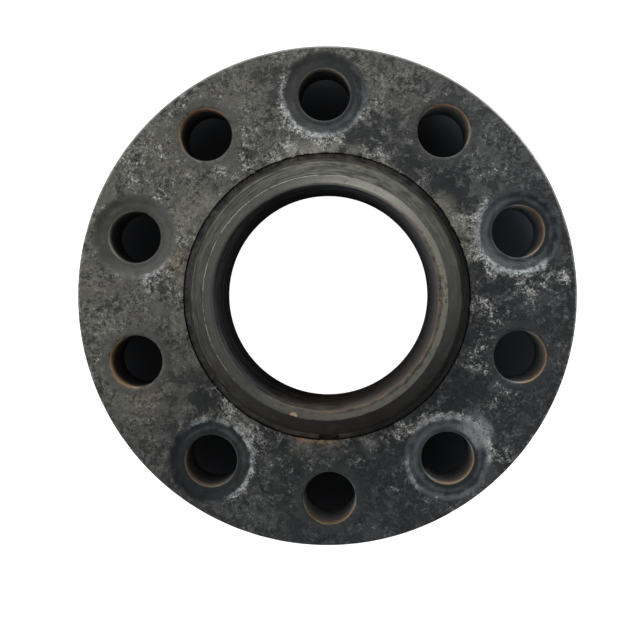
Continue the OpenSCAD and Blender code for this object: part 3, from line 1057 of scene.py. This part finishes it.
def sootyBoreFinish():
    material, desk, shader, place = newFinish("sootyBore")
    x, y, z = desk.split(place)
    radius = desk.fromAxis(x, y)
    blots = desk.noise(place, 13.0, 5.0, 0.62)
    slow = 0.12
    streaks = desk.noise(desk.vector(X=desk.times(x, slow), Y=desk.times(y, slow), Z=z),
                         9.0, 2.0, 0.5)
    rightWay, lowWay, brownWay = (desk.facing(x, y, radius, angle) for angle in (0, 225, 305))
    # Painted light in the tone: the wall is brighter at the sides, most on the right, and a little
    # darker at the lower left; the blots, streaks and brown side are the bore's own colour
    tone = desk.plus(desk.times(blots, 0.4), desk.times(streaks, 0.4), -0.14,
                     desk.times(rightWay, rightWay, 0.20), desk.times(rightWay, 0.08),
                     desk.step(brownWay, 0.3, 1.0, 0.0, 0.08),
                     desk.step(rightWay, -0.4, -1.0, 0.0, 0.06),
                     desk.step(lowWay, 0.4, 1.0, 0.0, -0.05))
    colour = desk.mix(desk.step(tone, 0.1, 0.65), tint(0.014, 0.015, 0.016),
                      tint(0.125, 0.128, 0.134))
    stained = desk.plus(desk.times(blots, 0.5), desk.times(streaks, 0.5))
    colour = desk.coat(colour, tint(0.115, 0.084, 0.056), desk.step(brownWay, 0.2, 0.9),
                       desk.step(stained, 0.42, 0.58), 0.8)
    # A few rings left by the boring tool
    rings = desk.step(desk.noise(desk.vector(Z=z), 5.0, 2.0, 0.5), 0.40, 0.46, 1.0, 0.0)
    colour = desk.coat(colour, tint(0.010, 0.010, 0.011), rings, 0.6)
    setSurface(desk, shader, colour, 0.85, metallic=0.0, specular=0.0)
    bump(desk, shader, blots, 0.4, 0.3)
    return material


retainingRing = {
    "innerRadius": 97.1,
    "outerRadius": 104.7,
    "edgeRound": 0.6,
    "splitAngle": 8.0,        # opening of the split, in degrees, centred on splitPlace
    "splitPlace": 270.0,
    "steps": 240,
}


def makeKeeper():
    s = retainingRing
    low, high = keeperLow.z, keeperHigh.z
    middle = (s["innerRadius"] + s["outerRadius"]) / 2
    line = roundedLine([(middle, low, 0), (s["outerRadius"], low, s["edgeRound"]),
                        (s["outerRadius"], high, s["edgeRound"]),
                        (s["innerRadius"], high, s["edgeRound"]),
                        (s["innerRadius"], low, s["edgeRound"]), (middle, low, 0)])[:-1]
    bm = bmesh.new()
    gap = math.radians(s["splitAngle"])
    start = math.radians(s["splitPlace"]) + gap / 2
    sweep = math.tau - gap
    rows = [[bm.verts.new(polar(p.x, start + sweep * i / s["steps"], p.y) * mm) for p in line]
            for i in range(s["steps"] + 1)]
    stitch(bm, rows, True)
    for end in (rows[0], rows[-1]):
        bm.faces.new(end)
    bmesh.ops.recalc_face_normals(bm, faces=bm.faces)
    return keepMesh(bm, "splitRetainingRing")


def blackSpringFinish():
    material, desk, shader, place = newFinish("blackSpringSteel")
    x, y = desk.split(place)[:2]
    grime = desk.noise(place, 8.0, 5.0, 0.65, distortion=0.5)
    colour = desk.mix(desk.step(grime, 0.45, 0.8), tint(0.009, 0.009, 0.009),
                      tint(0.034, 0.031, 0.027))
    # A pale dusty coat at the top and some on the left: dust in its pattern, painted light in where
    # it lies
    dustAndPaintedLight = desk.larger(desk.step(y, 50 * mm, 100 * mm, 0.0, 0.75),
                        desk.step(x, 0.0, -60 * mm, 0.0, 0.55))
    colour = desk.coat(colour, tint(0.13, 0.122, 0.105), dustAndPaintedLight,
                       desk.step(grime, 0.32, 0.72, 0.0, 0.85))
    rusted = desk.spot(place, polar(retainingRing["outerRadius"], math.radians(266),
                                    keeperHigh.z), 12, 38)
    colour = desk.coat(colour, tint(0.085, 0.064, 0.045), rusted, desk.step(grime, 0.3, 0.6), 0.7)
    setSurface(desk, shader, colour, 0.6, metallic=0.1, specular=0.25)
    bump(desk, shader, grime, 0.5, 0.2)
    return material


ringFinish = ringScaleFinish()
seatSector, plainSector = makeSector(True), makeSector(False)
ringPiece = newPiece("boltingRingForging", bpy.data.meshes.new("boltingRingForging"))
ringMesh = growWithNodes(ringPiece, holeCircleTree(), {
    "Seat Sector": seatSector, "Plain Sector": plainSector, "Hole Count": int(holeCount),
    "First Hole": halfSector, "Relief": boltingRing["relief"] * mm,
    "Rim Dents": boltingRing["rimDents"] * mm,
    "Front Height": ringFront * mm, "Rim Radius": ringRadius * mm,
    "Recess Radius": boltingRing["recessRadius"] * mm,
    "Edge Growth": boltingRing["edgeGrowth"] * mm, "Material": ringFinish})
for sector in (seatSector, plainSector):
    bpy.data.objects.remove(sector)
closeUp(ringMesh)
shadeByAngle(ringMesh, 50)
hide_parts("bolting_ring")
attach(ringPiece, "ring")
print("bolting ring made:", len(ringMesh.polygons), "faces")

grainPiece = newPiece("crustGranules", bpy.data.meshes.new("crustGranules"))
grainMesh = growWithNodes(grainPiece, crustTree(), {
    "Ring": ringPiece, "Density": crustGrains["densest"], "Smallest": crustGrains["smallest"],
    "Largest": crustGrains["largest"], "Flatness": crustGrains["flatness"],
    "Seed": crustGrains["seed"], "Front Height": ringFront * mm, "Material": crustFinish()})
grainMesh.shade_smooth()
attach(grainPiece, "ring")
print("crust granules made:", len(grainMesh.polygons), "faces")

hubPiece = makeHub()
closeUp(hubPiece.data)
growWithNodes(hubPiece, hubReliefTree(), {
    "Tool Marks": weldHub["toolMarks"] * mm, "Dents": weldHub["dents"] * mm,
    "Neck Top": weldHub["neckTop"] * mm,
    "Bore Radius": boreRadius * mm, "Weld End": weldEnd * mm,
    "Steel": turnedSteelFinish(), "Bore Finish": sootyBoreFinish()})
shadeByAngle(hubPiece.data, 40)
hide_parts("weld_hub")
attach(hubPiece, "hub")
print("weld hub made:", len(hubPiece.data.polygons), "faces")

keeperPiece = makeKeeper()
shadeByAngle(keeperPiece.data, 50)
keeperPiece.data.materials.append(blackSpringFinish())
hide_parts("retaining_ring")
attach(keeperPiece, "hub")
print("retaining ring made:", len(keeperPiece.data.polygons), "faces")


studio = {
    "floorSize": 8.0,
    "cameraHeight": 1.302,         # nearly over the flange, looking down
    "cameraOffset": (0.0168, 0.0149),
    "aimOffset": (-0.0052, -0.0170),
    "lens": 93.95,
    "sensorWidth": 36,
    "roll": 0.8,
    "skyStrength": 1.05,
    "skyAzimuth": 150.0,           # the brightest side of the room
    "skyContrast": 0.75,
    "ceiling": 0.4,
    "ceilingEdge": (0.90, 0.97),   # height on the sky where the ceiling fades in
    "windowAzimuth": 70.0,
    "windowElevation": 18.0,
    "windowDistance": 2.0,
    "windowSize": (1.4, 0.7),
    "windowPower": 27.0,
    "floorGlow": 1.02,
    "floorDrop": 0.2,              # keeps the floor clear of the gasket face
    # The shade card stands in for the shade in the bolt holes
    "shadeCardInset": 3.0,              # the card stays hidden by this much at each edge
    "shadeCardLightFade": (70, 155),         # across this stretch it turns paler to the right
}


def makeSky(s):
    # Soft light from all round, brighter on one side and dimmer straight overhead
    world = bpy.data.worlds.new("studioSky")
    world.use_nodes = True
    tree = world.node_tree
    tree.nodes.clear()
    desk = NodeDesk(tree)
    x, y, z = desk.split(desk.add("ShaderNodeNewGeometry").outputs["Position"])
    level = desk.math("MULTIPLY_ADD", desk.along(x, y, s["skyAzimuth"]), s["skyContrast"], 1.0)
    overhead = desk.step(z, *s["ceilingEdge"], 1.0, s["ceiling"])
    strength = desk.times(level, overhead, s["skyStrength"])
    seen = desk.add("ShaderNodeLightPath").outputs["Is Camera Ray"]
    strength = desk.plus(desk.times(strength, desk.minus(1.0, seen)), seen)
    sky = desk.add("ShaderNodeBackground", {"Color": tint(1, 1, 1), "Strength": strength})
    output = desk.add("ShaderNodeOutputWorld")
    tree.links.new(sky.outputs[0], output.inputs[0])
    scene.world = world


def makeWindow(s):
    # A wide soft window low on one side
    azimuth, rise = math.radians(s["windowAzimuth"]), math.radians(s["windowElevation"])
    data = bpy.data.lights.new("lowWindow", "AREA")
    data.shape = "RECTANGLE"
    data.size, data.size_y = s["windowSize"]
    data.energy = s["windowPower"]
    window = bpy.data.objects.new("lowWindow", data)
    away = Vector((math.cos(azimuth) * math.cos(rise), math.sin(azimuth) * math.cos(rise),
                   math.sin(rise)))
    window.location = s["windowDistance"] * away
    aim = Vector((0, 0, ringFront * mm)) - window.location
    window.rotation_euler = aim.to_track_quat("-Z", "Y").to_euler()
    window.visible_camera = False
    scene.collection.objects.link(window)


def makeFloor(s):
    # A light table, with a black card under the bolting ring as painted shade that keeps the bolt
    # holes dark; towards the right the card turns paler as painted light
    half = s["floorSize"] / 2
    mesh = bpy.data.meshes.new("floor")
    mesh.from_pydata([(-half, -half, 0), (half, -half, 0), (half, half, 0), (-half, half, 0)],
                     [], [(0, 1, 2, 3)])
    floor = newPiece("floor", mesh)
    floor.location.z = -s["floorDrop"] * mm
    material, desk, shader, place = newFinish("paleFloor")
    x, y = desk.split(place)[:2]
    radius = desk.fromAxis(x, y)
    shadeCard = desk.times(desk.above(radius, (boreRadius + s["shadeCardInset"]) * mm),
                      desk.below(radius, (ringRadius - s["shadeCardInset"]) * mm))
    seen = desk.add("ShaderNodeLightPath").outputs["Is Camera Ray"]
    glow = desk.times(desk.minus(1.0, shadeCard), s["floorGlow"], seen)
    desk.feed(shader.inputs["Emission Strength"], glow)
    shader.inputs["Emission Color"].default_value = tint(1, 1, 1)
    fadeFrom, fadeTo = s["shadeCardLightFade"]
    # Painted light: the card turns paler to the right
    shadeCardTint = desk.mix(desk.step(x, fadeFrom * mm, fadeTo * mm), tint(0.062, 0.066, 0.074),
                        tint(0.19, 0.225, 0.27))
    setSurface(desk, shader, desk.mix(shadeCard, tint(0.3, 0.3, 0.3), shadeCardTint), 0.9,
               metallic=0.0, specular=0.1)
    mesh.materials.append(material)


def makeCamera(s):
    # Looks nearly straight down, a little off the bore's axis
    camera = bpy.data.objects.new("camera", bpy.data.cameras.new("camera"))
    camera.data.lens, camera.data.sensor_width = s["lens"], s["sensorWidth"]
    camera.location = (*s["cameraOffset"], s["cameraHeight"])
    forward = (Vector((*s["aimOffset"], ringFront * mm)) - camera.location).normalized()
    right = forward.cross(Vector((0, 1, 0))).normalized()
    turn = Matrix((right, right.cross(forward), -forward)).transposed().to_4x4()
    roll = Matrix.Rotation(math.radians(-s["roll"]), 4, "Z")
    camera.rotation_euler = (turn @ roll).to_euler()
    scene.collection.objects.link(camera)
    scene.camera = camera
    scene.view_settings.view_transform = "Standard"


makeFloor(studio)
makeSky(studio)
makeWindow(studio)
makeCamera(studio)
print("studio made")
